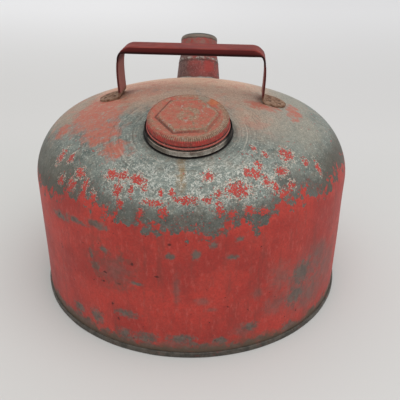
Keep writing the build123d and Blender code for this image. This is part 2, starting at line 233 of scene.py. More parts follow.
def cut(obj, cutters):
    """Bores the cutters out of obj and throws them away."""
    for cutter in cutters:
        modifier = obj.modifiers.new("bore", "BOOLEAN")
        modifier.operation = "DIFFERENCE"
        modifier.solver = "EXACT"
        modifier.object = cutter
    bpy.context.view_layer.update()
    mesh = bpy.data.meshes.new_from_object(obj.evaluated_get(bpy.context.evaluated_depsgraph_get()))
    obj.modifiers.clear()
    obj.data = mesh
    mesh.name = obj.name
    for cutter in cutters:
        bpy.data.objects.remove(cutter)
    return obj


def plug(radius, low, high, place, steps=96):
    """A plain cylinder to bore with."""
    return lathe("bore", [(0, low), (radius, low), (radius, high), (0, high)], place, steps, step=100)


# --- the shell and its bottom ---


def sheet_waves(h, a):
    """The slow unevenness of the drawn wall, in mm, fading out towards the dome."""
    wave = 0.16 * np.sin(3 * a + 0.7 + h / 45) + 0.12 * np.sin(7 * a + 2.1 - h / 23)
    wave += 0.07 * np.sin(13 * a + 0.4 + h / 12)
    return wave * smooth(h, 150, 120) * smooth(h, 2, 12)


DENTS = [  # azimuth in degrees from the front, height, width and depth in mm
    (47, 44, 22, 0.9),
    (-27, 74, 17, 0.6),
    (-52, 30, 20, 0.7),
    (12, 122, 14, 0.4),
    (70, 96, 26, 0.6),
    (118, 58, 24, 0.9),
    (-150, 88, 26, 0.8),
    (-105, 40, 20, 0.6),
]


def dented(r, h, a):
    """Moves the drawn sheet in and out along lines from a point inside the can."""
    push = sheet_waves(h, a)
    for azimuth, height, width, depth in DENTS:
        around = (a - math.radians(azimuth - 90) + math.pi) % TURN - math.pi
        apart = np.hypot(around * BODY_R, h - height)
        push -= depth * np.exp(-((apart / width) ** 2)) * smooth(h, 2, 12)
    up = h - 60
    size = np.hypot(r, up) + 1e-6
    return r + push * r / size, h + push * up / size


def make_shell():
    def skin(inset):
        dome = arc(0, DOME_C, DOME_R - inset, math.pi / 2, BLEND, 28)
        shoulder = arc(SHOULDER_C, WALL_TOP, SHOULDER_R - inset, BLEND, 0, 22)
        return dome + shoulder[1:] + [(BODY_R - inset, 1.0)]

    outline = skin(0) + skin(SHEET)[::-1]
    outline[0] = (0, outline[0][1])
    outline[-1] = (0, outline[-1][1])
    shell = lathe("can_shell", outline, steps=320, step=3.5, shape=dented, crease=50)
    return cut(shell, [plug(FILLER_HOLE_R, -20, 20, FILLER), plug(SPOUT_HOLE_R, -30, 20, SPOUT)])


def make_seam():
    outline = rounded(
        [
            (0, 7.8), (112, 7.8, 6), (116, 5.8, 3), (139.42, 5.8, 0.2), (139.42, 0.5, 0.1), (141.08, 0.5, 0.1),
            (141.08, 4.25, 0.1), (140.04, 4.25, 0.1), (140.04, 4.8, 0.2), (141.58, 4.8, 0.75), (141.58, 0, 0.75),
            (138.98, 0, 0.5), (138.98, 5.3, 0.4), (116, 5.3, 3), (112, 7.3, 6), (0, 7.3),
        ],
        0.2,
    )

    def uneven(r, h, a):
        knocks = 0.1 * (1 + np.sin(9 * a + 1.0)) / 2 + 0.1 * (1 + np.sin(23 * a + 0.3)) / 2
        rim = smooth(r, 138, 141)
        return r - knocks * rim, h - 0.25 * knocks * rim * smooth(h, 2, 4.5)

    return lathe("bottom_seam", outline, steps=320, step=3.0, shape=uneven)


# --- filler ---

COLLAR_FOOT = math.sqrt(DOME_R**2 - 33.6**2) - DOME_R + 0.9
COLLAR_RIM = 3.29
COLLAR_FLOOR = 0.5
FILLER_RIM = 9.93
FILLER_THREAD = FILLER_RIM - 5.6


def make_collar():
    outline = rounded(
        [
            (33.6, COLLAR_FOOT, 0.25), (33.7, COLLAR_FOOT + 0.5, 0.3), (33.5, COLLAR_FOOT + 0.9, 0.3),
            (33.7, COLLAR_RIM, 0.24), (33.2, COLLAR_RIM, 0.24), (33.0, COLLAR_FLOOR + 0.5, 0.5),
            (28.66, COLLAR_FLOOR + 0.5, 0.1), (28.66, COLLAR_FLOOR, 0.1), (33.1, COLLAR_FLOOR, 0.5),
            (33.1, COLLAR_FOOT, 0.2),
        ],
        0.2,
    )

    def uneven(r, h, a):
        return r + 0.04 * np.sin(5 * a + 1) * smooth(r, 30, 34), h

    return lathe("filler_ring", outline, FILLER, steps=240, step=0.9, shape=uneven)


def make_filler_neck():
    wall, bore = FILLER_NECK_R, FILLER_NECK_R - NECK_WALL
    outline = rounded(
        [(bore, -6, 0.2), (wall, -6, 0.2), (wall, FILLER_RIM, 0.38), (bore, FILLER_RIM, 0.38)], 0.2
    )

    def threaded(r, h, a):
        return r + thread(h, a, FILLER_THREAD, 4.4), h

    return lathe("filler_thread_neck", outline, FILLER, steps=240, step=0.3, shape=threaded)


CAP_FLUTES = 120
HEXAGON = 21.1
HEXAGON_FLATS = [math.radians(6.5) + k * math.pi / 3 + math.pi / 6 for k in range(3)]


def make_fill_cap():
    foot, top, out, wall, corner = 3.3, 12.35, 31.3, 0.84, 2.9
    outline = [(out - wall, foot + 0.3), (out - 0.2, foot)]
    outline += arc(out - 0.35, foot + 1.2, 1.1, -1.2, 1.2, 10)
    outline += [(out - 0.3, foot + 2.45), (out - 0.3, foot + 2.7), (out - 0.02, foot + 3.1)]
    outline += arc(out - corner, top - corner, corner, 0, math.pi / 2, 14)
    outline += [(0, top), (0, top - wall)]
    outline += arc(out - corner, top - corner, corner - wall, math.pi / 2, 0, 8)

    def pressed(r, h, a):
        x, y = r * np.cos(a), r * np.sin(a)
        flats = [np.abs(x * math.cos(t) + y * math.sin(t)) for t in HEXAGON_FLATS]
        across = sum(f**16 for f in flats) ** (1 / 16)
        on_top = smooth(h, top - wall - 0.4, top - wall - 0.05)
        rise = 1.28 * smooth(across, HEXAGON, HEXAGON - 1.3) + 0.3 * smooth(r, 9.3, 8.5)
        dish = -0.4 * smooth(across, HEXAGON - 0.5, HEXAGON + 0.5) * smooth(r, 29.0, 26.0)
        outside = (r > out - 0.5) | (h > top - wall + 0.2)
        band = smooth(h, foot + 6.9, foot + 7.6) * smooth(r, out - 3.3, out - 2.3)
        flute = -0.4 * (0.5 + 0.5 * np.cos(CAP_FLUTES * a)) ** 2 * band * outside
        inner = (np.abs(r - (out - wall)) < 0.1) * thread(h, a, FILLER_THREAD + PITCH / 2, 2.4)
        lean = np.arctan2(np.maximum(h - (top - corner), 0), np.maximum(r - (out - corner), 1e-6))
        return r - inner + flute * np.cos(lean), h + (rise + dish) * on_top + flute * np.sin(lean)

    return lathe("fill_cap", outline, FILLER, steps=600, step=0.55, shape=pressed, crease=60)


# --- spout ---

SPOUT_TOP = 17.5
SPOUT_RIM = 43.8
SPOUT_THREAD = 29.9


def spout_wall(height):
    """The outside radius of the spout's tapered base."""
    return 22.85 - height * (22.85 - 21.2) / SPOUT_TOP


def make_spout_base():
    root = -18.0
    outline = [(spout_wall(root), root), (spout_wall(SPOUT_TOP - 0.8), SPOUT_TOP - 0.8)]
    outline += arc(20.92, SPOUT_TOP, 0.48, -0.9, 2.6, 10)
    outline += [(20.4, SPOUT_TOP - 0.3), (spout_wall(root) - NECK_WALL, root)]

    def seated(r, h, a):
        foot = junction(SPOUT, spout_wall, a, GAP)
        settled = SPOUT_TOP - (SPOUT_TOP - h) * (SPOUT_TOP - foot) / (SPOUT_TOP - root)
        below = h < SPOUT_TOP - 0.5
        wall = r - spout_wall(h)
        return np.where(below, spout_wall(settled) + wall, r), np.where(below, settled, h)

    return lathe("spout_foot", outline, SPOUT, steps=200, step=0.8, shape=seated)


def make_spout_neck():
    outline = rounded(
        [
            (20.1, 10, 0.2), (20.1, 18.05, 0.1), (20.9, 18.05, 0.3), (20.9, 20, 1.5), (19.3, 26.6, 1.2),
            (16.7, 28.2, 1.0), (16.7, SPOUT_RIM, 0.38), (15.9, SPOUT_RIM, 0.38), (15.9, 27.5, 1.0),
            (18.5, 25.9, 1.0), (20.1, 20, 1.5), (20.1, 18.9, 0.2), (19.3, 18.9, 0.2), (19.3, 10, 0.2),
        ],
        0.2,
    )

    def threaded(r, h, a):
        return r + thread(h, a, SPOUT_THREAD, 12.0), h

    return lathe("spout_thread_neck", outline, SPOUT, steps=200, step=0.35, shape=threaded)


def make_spout_cap():
    foot, top, out, wall, corner = 28.4, 46.15, 19.3, 0.7, 3.6
    outline = [(out - wall, foot + 0.2), (out - 0.3, foot)]
    outline += arc(out - 0.05, foot + 0.75, 0.7, -1.3, 1.3, 8)
    outline += [(out - 0.2, foot + 1.7), (out, foot + 2.1)]
    outline += [(out, top - corner - 2.3), (out - 0.28, top - corner - 1.9), (out, top - corner - 1.5)]
    outline += arc(out - corner, top - corner, corner, 0, math.pi / 2, 12)
    outline += [(0, top), (0, top - wall)]
    outline += arc(out - corner, top - corner, corner - wall, math.pi / 2, 0, 8)

    def pressed(r, h, a):
        inner = (np.abs(r - (out - wall)) < 0.1) * thread(h, a, SPOUT_THREAD + PITCH / 2, 5.0)
        dish = -0.3 * smooth(r, 14.6, 12.8) * smooth(h, top - wall - 0.4, top - wall - 0.05)
        return r - inner, h + dish

    return lathe("spout_cap", outline, SPOUT, steps=240, step=0.5, shape=pressed, crease=60)


def solder_bead(name, place, radius, size, lumps):
    """A lumpy fillet in the corner between the can and a neck of the given radius."""
    steps = 240
    a = np.arange(steps) * TURN / steps
    swell = size * (1 + 0.22 * np.sin(lumps * a + 0.5) + 0.12 * np.sin((2 * lumps + 3) * a + 2))
    origin, turn = np.array(place.translation) / MM, np.array(place.to_3x3())

    def at(out, clearance):
        wall = lambda h: radius(h) + out
        h = junction(place, wall, a, clearance)
        r = wall(h)
        return np.stack([r * np.cos(a), r * np.sin(a), h], axis=-1) @ turn.T + origin

    rings = [at(0.02, GAP), at(0.02, swell), at(0.18 * size, 0.5 * swell)]
    rings += [at(0.5 * size, 0.2 * swell), at(size, 0.02 * swell + GAP), at(0.5 * size, 0.04)]
    bm = bmesh.new()
    rows = [[bm.verts.new(p) for p in ring] for ring in rings]
    bridge(bm, rows + rows[:1])
    return finished(name, bm, crease=70)


# --- carrying strap ---

STRAP_TOP = 218.5
STRAP_CORNER = 11.2
LEG_R = 61.8
LEG_BOW = 0.8
FOOT_END = 82.2
FOOT_CORNER = 12.6
WELD_C = 72.3
WELD_R = 1.5
WELD_HALF = 4.2
GRIP_DEPTH = 5.5
GRIP_BEND = 2.0
WELD_SPOTS = (-WELD_HALF, WELD_HALF)
WELDS = [(side * (WELD_C + dx), dy) for side in (-1, 1) for dx in WELD_SPOTS for dy in WELD_SPOTS]


def dome_height(x, y):
    """The height of the dome's outside, for a point in the strap's frame."""
    shift = 2 * STRAP_Y * (x * math.sin(STRAP_TURN) + y * math.cos(STRAP_TURN))
    return math.sqrt(DOME_R**2 - x * x - y * y - STRAP_Y**2 - shift) + DOME_C


def strap_path():
    """Half of the strap's middle line, from the top of the grip down and out to the foot's end."""
    crown = STRAP_TOP - STRAP / 2
    shoulder = crown - STRAP_CORNER
    foot = lambda x: Vector((x, dome_height(x, 0) + GAP + STRAP / 2))
    low = foot(LEG_R).y + 3.5
    path = [Vector((0, crown))]
    path += [Vector(p) for p in arc(LEG_R - STRAP_CORNER, shoulder, STRAP_CORNER, math.pi / 2, 0, 16)]
    for t in np.linspace(0, 1, 14)[1:]:
        path.append(Vector((LEG_R + LEG_BOW * math.sin(math.pi * t**0.7), shoulder + (low - shoulder) * t)))
    path += [eased(path[-1], foot(LEG_R), foot(LEG_R + 3.5), k / 8) for k in range(1, 9)]
    path += [foot(x) for x in np.linspace(LEG_R + 3.5, FOOT_END - GAP, 26)[1:]]
    dense = [path[0]]
    for p, q in zip(path, path[1:]):
        parts = max(1, math.ceil((q - p).length / 1.2))
        dense += [p.lerp(q, k / parts) for k in range(1, parts + 1)]
    return dense


def strap_section(half, depth):
    """Half of the sheet's cross-section, middle to edge, as points of (across, down, lean).

    The sheet is half wide from its middle to its edge. Where depth is more than its thickness its edge is
    folded down to that depth; lean is the angle in radians that the sheet has turned down through.
    """
    bend, flat = GRIP_BEND - STRAP / 2, STRAP_WIDTH / 2 - GRIP_BEND
    fold = min(max((depth - STRAP) / (GRIP_BEND + 0.6 - STRAP), 0), 1)
    most = math.pi / 2 * fold
    total = half if fold == 0 else max(half, flat + bend * most + max(depth - GRIP_BEND, 0))
    points = []
    for t in np.linspace(0, 1, 15):
        run = t * total
        if run <= flat or fold == 0:
            points.append((run, 0.0, 0.0))
            continue
        lean = min((run - flat) / bend, most)
        rest = max(run - flat - bend * most, 0)
        across = flat + bend * math.sin(lean) + rest * math.cos(most)
        points.append((across, bend * (1 - math.cos(lean)) + rest * math.sin(most), lean))
    return points


def make_strap():
    half_path = strap_path()
    path = [Vector((-p.x, p.y)) for p in half_path[:0:-1]] + half_path
    shoulder = STRAP_TOP - STRAP / 2 - STRAP_CORNER
    bm = bmesh.new()
    rings = []
    for i, p in enumerate(path):
        before, after = path[max(i - 1, 0)], path[min(i + 1, len(path) - 1)]
        along = (after - before).normalized()
        out = Vector((-along.y, along.x))
        turned = math.atan2(max(p.y - shoulder, 0), max(abs(p.x) - (LEG_R - STRAP_CORNER), 1e-9))
        over = abs(p.x) - (FOOT_END - FOOT_CORNER)
        half = STRAP_WIDTH / 2
        if over > 0:
            half += math.sqrt(max(FOOT_CORNER**2 - over**2, 0.2)) - FOOT_CORNER
        on_foot = abs(p.x) > LEG_R + 1.5 and p.y < shoulder - 20
        inner = (STRAP_CORNER + STRAP / 2 - GRIP_DEPTH) / max(math.sin(turned), 1e-3)
        section = strap_section(half, STRAP_CORNER + STRAP / 2 - inner)
        upper, lower = [], []
        for side in (-1, 1):
            for across, down, lean in (section[::-1] if side < 0 else section[1:]):
                if on_foot:
                    down = dome_height(p.x, 0) - dome_height(p.x, side * across)
                for row, offset in ((upper, STRAP / 2), (lower, -STRAP / 2)):
                    n = offset * math.cos(lean) - down
                    v = side * (across + offset * math.sin(lean))
                    row.append(Vector((p.x + out.x * n, v, p.y + out.y * n)))
        edge = (upper[-1] + lower[-1]) / 2 + (upper[-1] - upper[-2]).normalized() * 0.3
        start = (upper[0] + lower[0]) / 2 + (upper[0] - upper[1]).normalized() * 0.3
        rings.append([bm.verts.new(v) for v in upper + [edge] + lower[::-1] + [start]])
    bridge(bm, rings)
    for end in (rings[0], rings[-1]):
        bm.faces.new(end)
    strap = finished("carrying_strap", bm, STRAP_PLACE, crease=45)
    bores = [
        plug(WELD_R, 150, 190, STRAP_PLACE @ Matrix.Translation((x * MM, y * MM, 0)), steps=20) for x, y in WELDS
    ]
    return cut(strap, bores)


def make_welds():
    """Eight weld nuggets, each a rough dished button in its hole in the foot."""
    bm = bmesh.new()
    steps = 18
    button = ((1.46, 0.0), (1.46, 1.3), (1.25, 1.55), (0.8, 1.05), (0.35, 0.85))
    for number, (x, y) in enumerate(WELDS):
        base = dome_height(x, y) + GAP
        rows = []
        for r, h in button:
            ring = []
            for j in range(steps):
                a = j * TURN / steps
                px, py = x + r * math.cos(a), y + r * math.sin(a)
                fall = dome_height(px, py) - dome_height(x, y)
                rough = 0.12 * math.sin(3 * a + number) * (h > 0.5)
                ring.append(bm.verts.new((px, py, base + fall + h + rough)))
            rows.append(ring)
        bridge(bm, rows)
        for end in (rows[0], rows[-1]):
            bm.faces.new(end)
    return finished("foot_welds", bm, STRAP_PLACE, crease=50)


# --- finishes ---


def srgb(red, green, blue):
    """A screen colour of 0 to 255 as the linear colour that a shader takes."""
    return tuple(((c / 255 + 0.055) / 1.055) ** 2.4 if c > 10.3 else c / 3295 for c in (red, green, blue)) + (1.0,)


def on_can(azimuth, height):
    """The point on the can's outside at an azimuth from the front in degrees and a height in mm."""
    if height <= WALL_TOP:
        r = BODY_R
    else:
        r = SHOULDER_C + math.sqrt(max(SHOULDER_R**2 - (height - WALL_TOP) ** 2, 0))
        if math.atan2(height - WALL_TOP, r - SHOULDER_C) > BLEND:
            r = math.sqrt(max(DOME_R**2 - (height - DOME_C) ** 2, 0))
    a = math.radians(azimuth)
    return (r * math.sin(a), -r * math.cos(a), height)


def on_dome(x, y):
    """The point on the dome over a place in plan."""
    return (x, y, math.sqrt(DOME_R**2 - x * x - y * y) + DOME_C)


class Finish:
    """A procedural material, wired up from places on the piece in millimetres."""

    def __init__(self, name):
        self.material = bpy.data.materials.new(name)
        self.material.use_nodes = True
        self.tree = self.material.node_tree
        self.tree.nodes.clear()
        self.at = self.mapped(self.add("ShaderNodeTexCoord").outputs["Object"], scale=(1 / MM,) * 3)
        self.x, self.y, self.z = self.add("ShaderNodeSeparateXYZ", self.at).outputs

    def add(self, kind, *inputs, **settings):
        """A node with its settings, and its inputs in order as sockets or values; None skips one."""
        node = self.tree.nodes.new(kind)
        for key, value in settings.items():
            setattr(node, key, value)
        for socket, value in zip([s for s in node.inputs if s.enabled], inputs):
            self.feed(socket, value)
        return node

    def feed(self, socket, value):
        """Links or sets an input; a colour is given in screen values."""
        if isinstance(value, bpy.types.NodeSocket):
            self.tree.links.new(value, socket)
        elif value is not None:
            socket.default_value = srgb(*value) if socket.type == "RGBA" else value

    def math(self, operation, a, b=None, c=None):
        return self.add("ShaderNodeMath", a, b, c, operation=operation).outputs[0]

    def vector(self, operation, a, b=None):
        node = self.add("ShaderNodeVectorMath", a, b, operation=operation)
        return node.outputs["Value"] if operation in ("DISTANCE", "LENGTH", "DOT_PRODUCT") else node.outputs[0]

    def mapped(self, at, location=(0, 0, 0), turn=0.0, scale=(1, 1, 1), kind="POINT"):
        return self.add("ShaderNodeMapping", at, location, (0, 0, turn), scale, vector_type=kind).outputs[0]

    def noise(self, size, detail=4, rough=0.7, at=None, seed=0, stretch=(1, 1, 1)):
        """Soft noise about 0.5 whose features are size mm across, longer along an axis with stretch over 1."""
        place = (seed * 17.3, seed * 7.1, seed * 31.7)
        mapped = self.mapped(at or self.at, place, scale=tuple(1 / (size * s) for s in stretch))
        return self.add("ShaderNodeTexNoise", mapped, 1.0, detail, rough).outputs[0]

    def centred(self, amount, *noise, **settings):
        """Noise about 0, amount being how far its whole range would reach."""
        return self.math("MULTIPLY_ADD", self.noise(*noise, **settings), amount, -amount / 2)

    def cells(self, size):
        """A random colour for each of a field of cells that are size mm apart."""
        mapped = self.mapped(self.at, scale=(1 / size,) * 3)
        return self.add("ShaderNodeTexVoronoi", mapped, 1.0).outputs["Color"]

    def step(self, value, low, high, out=1.0):
        """0 when value is at low, out when it is at high, smooth between; low may be over high."""
        ends = (low, high, 0.0, out) if low <= high else (high, low, out, 0.0)
        return self.add("ShaderNodeMapRange", value, *ends, interpolation_type="SMOOTHSTEP").outputs[0]

    def within(self, value, start, full, fall, end):
        """A mask of the values between full and fall, fading out to start and to end."""
        return self.all_of(self.step(value, start, full), self.step(value, end, fall))

    def blots(self, low, high, *noise, out=1.0, **settings):
        """Patches of out where the noise is past high, fading to 0 at low; low may be over high."""
        return self.step(self.noise(*noise, **settings), low, high, out)

    def mix(self, factor, a, b):
        node = self.add("ShaderNodeMix", factor, a, b, data_type="RGBA")
        return next(s for s in node.outputs if s.enabled)

    def over(self, colour, mask, amount, tone):
        """The colour with a tone laid over it where the mask is, at that strength."""
        return self.mix(self.math("MULTIPLY", mask, amount), colour, tone)

    def mottle(self, one, two, low, high, *noise, **settings):
        """Two tones mottled by noise, one where it is under low and two where it is over high."""
        return self.mix(self.blots(low, high, *noise, **settings), one, two)

    def curve(self, value, points, span, reach):
        """A smooth curve through points of (value, result), for values over span and results over reach."""
        node = self.add("ShaderNodeFloatCurve")
        line = node.mapping.curves[0]
        places = [((v - span[0]) / (span[1] - span[0]), (r - reach[0]) / (reach[1] - reach[0])) for v, r in points]
        line.points[0].location, line.points[1].location = places[0], places[-1]
        for place in places[1:-1]:
            line.points.new(*place)
        node.mapping.update()
        along = self.math("DIVIDE", self.math("SUBTRACT", value, span[0]), span[1] - span[0])
        self.feed(node.inputs["Value"], along)
        return self.math("MULTIPLY_ADD", node.outputs[0], reach[1] - reach[0], reach[0])

    def plus(self, *values):
        return functools.reduce(lambda one, two: self.math("ADD", one, two), values)

    def level(self, factor, a, b):
        """A plain number that goes from a to b with the factor."""
        return self.plus(self.math("MULTIPLY", self.math("SUBTRACT", b, a), factor), a)

    def all_of(self, *masks):
        return functools.reduce(lambda one, two: self.math("MULTIPLY", one, two), masks)

    def any_of(self, *masks):
        return functools.reduce(lambda one, two: self.math("MAXIMUM", one, two), masks)

    def spot(self, centre, radius, soft, ragged, size, squeeze=(1, 1, 1)):
        """A patch round a point, radius mm across its half; ragged mm is how far its edge wanders."""
        offset = self.vector("SUBTRACT", self.at, centre)
        if squeeze != (1, 1, 1):
            offset = self.vector("MULTIPLY", offset, squeeze)
        distance = self.vector("LENGTH", offset)
        torn = self.plus(distance, self.centred(4 * ragged, size, 4, 0.6))
        return self.step(torn, radius + soft, radius - soft)

    def finish(self, colour, roughness, metallic=0.0, bump=None, depth=0.2, specular=0.5):
        shader = self.tree.nodes.new("ShaderNodeBsdfPrincipled")
        shader.inputs["Specular IOR Level"].default_value = specular
        for key, value in (("Base Color", colour), ("Roughness", roughness), ("Metallic", metallic)):
            self.feed(shader.inputs[key], value)
        if bump is not None:
            node = self.tree.nodes.new("ShaderNodeBump")
            node.inputs["Strength"].default_value = 1.0
            node.inputs["Distance"].default_value = depth * MM
            self.feed(node.inputs["Height"], bump)
            self.tree.links.new(node.outputs[0], shader.inputs["Normal"])
        out = self.tree.nodes.new("ShaderNodeOutputMaterial")
        self.tree.links.new(shader.outputs[0], out.inputs[0])
        return self.material


def turned_about(f, place):
    """The distance out from a neck's axis, and the height along it, in mm."""
    origin, axis = place.translation / MM, place.to_3x3() @ Vector((0, 0, 1))
    from_origin = f.vector("SUBTRACT", f.at, tuple(origin))
    height = f.vector("DOT_PRODUCT", from_origin, tuple(axis))
    out = f.vector("LENGTH", f.vector("CROSS_PRODUCT", from_origin, tuple(axis)))
    return out, height


# Where the red enamel ends on the shoulder: azimuth in degrees from the front, and height in mm.
ENAMEL_EDGE = [
    (-180, 120), (-150, 124), (-120, 118), (-95, 122), (-78, 118), (-70, 116), (-62, 114), (-54, 117), (-47, 120),
    (-40, 125), (-35, 128), (-31, 128), (-28, 124), (-21, 118), (-16, 118), (-8, 116), (-2, 114), (3, 115),
    (8, 113), (12, 115), (15, 121), (18, 118), (22, 115), (26, 120), (30, 126), (34, 131), (39, 130), (43, 128),
    (50, 122), (57, 125), (62, 128), (73, 128), (90, 121), (115, 124), (145, 118), (180, 120),
]
# Flakes of enamel left on the bare shoulder: azimuth, height, half width and half height in mm.
FLAKES = [
    (-52, 146, 3.5, 5), (-46, 148, 3, 3), (-38, 143, 5, 3), (-34, 137, 3, 4), (-40, 133, 4, 5), (-46, 133, 4, 4),
    (-30, 131, 3, 4), (-25, 147, 5, 3), (-21, 148, 6, 3), (-15.5, 147.5, 5, 3), (-21.5, 139, 3.5, 4.5),
    (-17, 141, 2, 3), (-12.5, 144, 2, 3.5), (-9, 135, 7, 2.6), (-6, 128.5, 3.5, 5), (-13, 127, 3, 3),
    (-20, 131, 3, 3.5), (1, 137.5, 9, 2.6), (7.5, 137, 4, 2), (-7, 141, 2, 2.5), (-3.5, 142, 2, 2),
    (11, 131, 3.5, 5), (11, 141, 3, 2.5), (17.5, 142, 9, 4.8), (20, 129, 5, 3), (25, 149.5, 4.5, 3),
    (28, 144, 4, 3), (30.5, 140, 2.5, 4), (35, 148, 5.5, 3), (37, 139, 3, 3), (33, 135, 4, 2.5),
    (41, 155, 5.5, 3.6), (27, 154, 3, 2), (52, 142, 2.5, 5), (22, 151, 3, 2.5), (15, 127, 4, 3), (25, 126, 5, 3),
    (-25, 126, 4, 3), (47, 148, 3, 2.5), (32, 158, 2, 1.5), (29, 161, 2, 1.3), (8, 151, 4, 2.5), (-34, 127, 5, 3),
]
# Bare patches on the enamelled wall, in the same form.
BARE = [
    (42, 60, 10, 10), (40, 39, 9, 8), (-4, 95, 4, 2.5), (4, 96, 3, 3.5), (15, 93, 4, 2), (9, 105, 2.5, 2.5),
    (-15, 67, 6, 1.5), (-26, 91, 3, 2.5), (-30, 73, 4, 4), (-31, 82, 2, 5), (-45, 105, 10, 3), (-37, 108, 9, 2.6),
    (-28, 111, 9, 3), (17, 108, 3, 2), (-19, 36, 8, 3.5), (-31, 22, 6, 6), (-20, 15, 7, 5), (-12, 16, 8, 5),
    (-1, 18, 9, 4.5), (12, 15, 6, 3), (-40, 22, 6, 4), (-150, 60, 22, 14), (140, 84, 16, 20), (170, 30, 24, 10),
    (-125, 26, 20, 12), (-170, 98, 20, 8), (22, 24, 7, 4),
]
# Small deep pits in the wall.
PITS = [
    (-26, 70, 1.6, 0.9), (-27, 61, 1.8, 0.8), (-7, 113, 1.6, 1.1), (-4, 105, 1.3, 0.8), (-16, 84, 1.0, 1.2),
    (-24, 42, 0.9, 1.5), (-8, 76, 1.8, 0.8), (-22, 29, 1.2, 1.4), (-21, 63, 2, 0.7), (135, 52, 1.6, 1),
    (-140, 40, 1, 1.4),
]
# Scuffs that only dull the enamel.
SCUFFED = [
    (20, 22, 8, 5), (52, 70, 10, 9), (31, 38, 9, 8), (32, 66, 9, 11), (49, 30, 12, 12), (60, 48, 13, 18),
    (-20, 86, 3, 3), (-22, 69, 8, 3), (6, 55, 5, 3), (9, 46, 4, 2), (24, 55, 4, 4), (-4, 12, 12, 3),
    (-2, 66, 2.5, 12), (-22, 74, 12, 10), (10, 9, 9, 5), (100, 64, 16, 8), (-100, 88, 18, 10), (115, 22, 20, 8),
]


def patch_field(f, spots):
    """One field of many patches on the can, each (azimuth, height, half width, half height) in mm.

    It is 1 in a patch's middle, 0.5 at its edge and 0 at twice its size.
    """
    field = None
    for azimuth, height, wide, high in spots:
        local = f.mapped(
            f.at, on_can(azimuth, height), math.radians(azimuth), (wide * 2, 40, high * 2), kind="TEXTURE"
        )
        ball = f.add("ShaderNodeTexGradient", local, gradient_type="SPHERICAL").outputs[1]
        field = ball if field is None else f.any_of(field, ball)
    return field


def patches(f, spots, ragged, size, soft):
    """A mask of many patches with torn edges."""
    field = patch_field(f, spots)
    torn = f.plus(field, f.centred(ragged, size, 5, 0.72, seed=5))
    return f.all_of(f.step(torn, 0.5 - soft, 0.5 + soft), f.step(field, 0.02, 0.12))


def zinc_colour(f):
    """Weathered galvanised sheet: blue-grey with a crystalline mottle, lighter flowers and fine specks."""
    colour = f.mottle((84, 92, 87), (116, 123, 116), 0.36, 0.64, 26, 5, 0.65, seed=1)
    crystals = f.blots(0.33, 0.67, 6.5, 5, 0.75, seed=2)
    colour = f.over(colour, crystals, 0.7, (132, 138, 130))
    colour = f.over(colour, f.step(f.cells(5.0), 0.35, 0.75), 0.18, (70, 78, 75))
    tint = f.blots(0.48, 0.66, 8, seed=31)
    colour = f.over(colour, tint, 0.4, (138, 124, 108))
    bright = f.blots(0.53, 0.66, 1.7, 3, seed=3)
    colour = f.over(colour, bright, 0.55, (186, 188, 178))
    pits = f.blots(0.44, 0.31, 2.0, 3, seed=4)
    return f.over(colour, pits, 0.7, (58, 62, 58))


def enamel_colour(f):
    """Old red enamel: two reds in slow clouds, with duller chalky drifts."""
    colour = f.mottle((158, 50, 43), (180, 59, 49), 0.38, 0.62, 38, 4, 0.6, seed=6)
    drift = f.blots(0.40, 0.68, 11, 5, seed=7)
    colour = f.over(colour, drift, 0.3, (140, 64, 56))
    grain = f.blots(0.40, 0.62, 1.7, 4, 0.75, seed=8)
    colour = f.over(colour, grain, 0.34, (112, 40, 35))
    chalk = f.blots(0.52, 0.70, 3.0, 4, 0.75, seed=39, stretch=(1, 1, 3))
    return f.over(colour, chalk, 0.36, (192, 98, 88))


